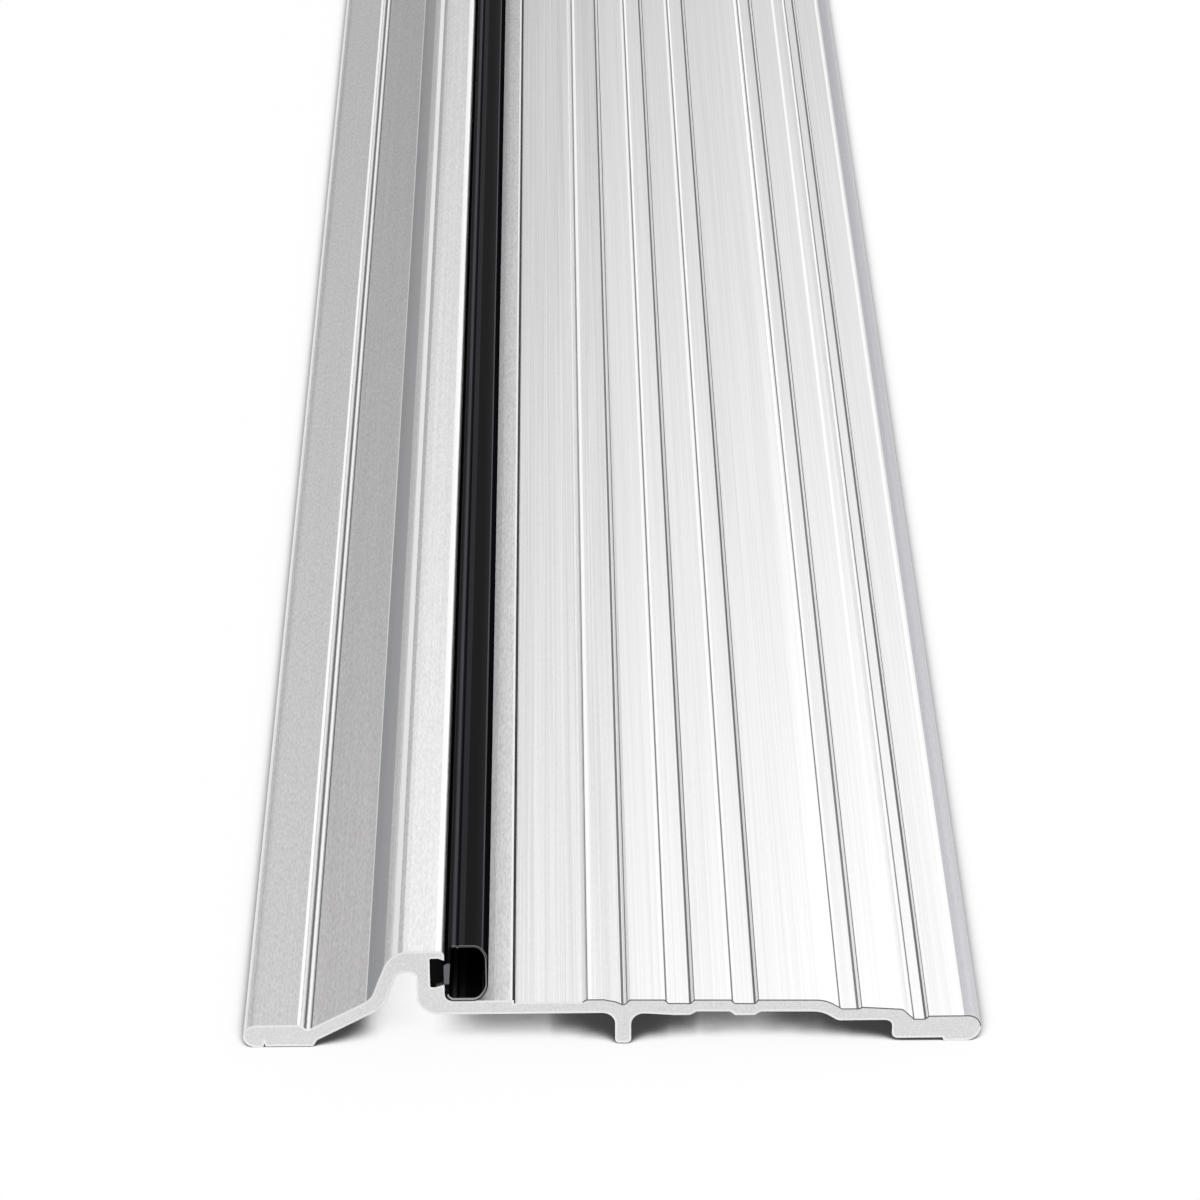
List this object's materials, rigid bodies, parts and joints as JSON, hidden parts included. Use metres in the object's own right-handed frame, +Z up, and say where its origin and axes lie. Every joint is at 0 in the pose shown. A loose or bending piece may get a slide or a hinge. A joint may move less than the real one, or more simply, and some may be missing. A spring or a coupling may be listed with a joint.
{
  "type": "door transition threshold",
  "caption": "Extruded aluminium saddle threshold with a ramp, a raised stop holding a hollow rubber bulb seal, a grooved tread and two low feet.",
  "frame": {"origin": "middle of the footprint, on the surface the threshold stands on", "axes": "+Y along the bar, away from the end seen in the picture; +Z up; +X from the ramp side to the grooved tread"},
  "size_m": [0.127, 0.9144, 0.0202],
  "materials": {
    "aluminium": "satin mill finish with fine lengthwise die lines, saw-cut ends",
    "seal_rubber": "smooth black extruded rubber, low sheen"
  },
  "bodies": {
    "root": {"threshold_extrusion": "aluminium", "bulb_seal": "seal_rubber"}
  },
  "joints": []
}
